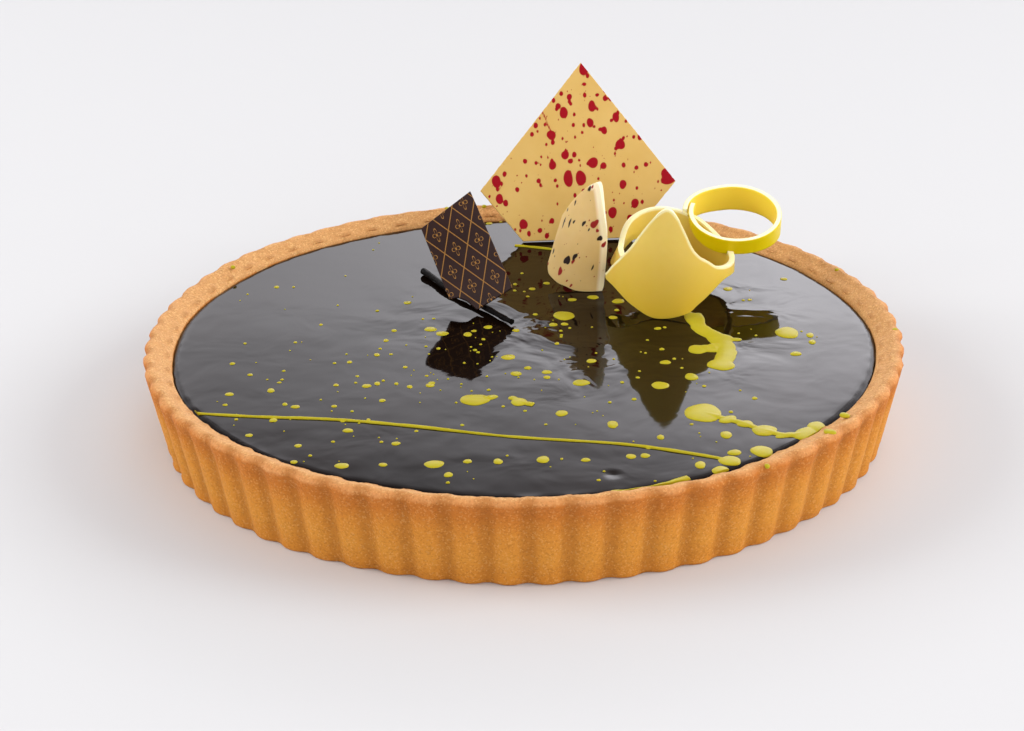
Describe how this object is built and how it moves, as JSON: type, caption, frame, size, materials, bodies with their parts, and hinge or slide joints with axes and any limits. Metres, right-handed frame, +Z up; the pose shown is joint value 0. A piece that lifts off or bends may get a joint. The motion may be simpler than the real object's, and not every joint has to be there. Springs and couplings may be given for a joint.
{
  "type": "chocolate tart",
  "caption": "Round fluted pastry case filled to near its rim with dark mirror-glazed chocolate, green splashes on it, and standing pieces of white and dark chocolate",
  "frame": {"origin": "the middle of the flat underside", "axes": "+Z up, -Y towards the front of the tart as it is shown, +X to its right"},
  "size_m": [0.2796, 0.2796, 0.0975],
  "materials": {
    "pastry": "browned shortcrust, fine sandy crumb",
    "dark_glaze": "dark mirror glaze with green cocoa-butter splashes",
    "white_chocolate_splattered": "satin ivory with red splatter",
    "white_chocolate_speckled": "satin ivory with dark and red specks",
    "white_chocolate": "satin pale yellow",
    "yellow_chocolate": "satin green-yellow",
    "dark_chocolate_printed": "satin dark brown with a gold pattern",
    "vanilla_pod": "dry, wrinkled, near black"
  },
  "bodies": {
    "root": {"crust": "pastry", "filling": "dark_glaze", "splattered_plate": "white_chocolate_splattered", "speckled_leaf": "white_chocolate_speckled", "large_curl": "white_chocolate", "yellow_ring": "yellow_chocolate", "dark_plaque": "dark_chocolate_printed", "vanilla_pod": "vanilla_pod"}
  },
  "joints": []
}
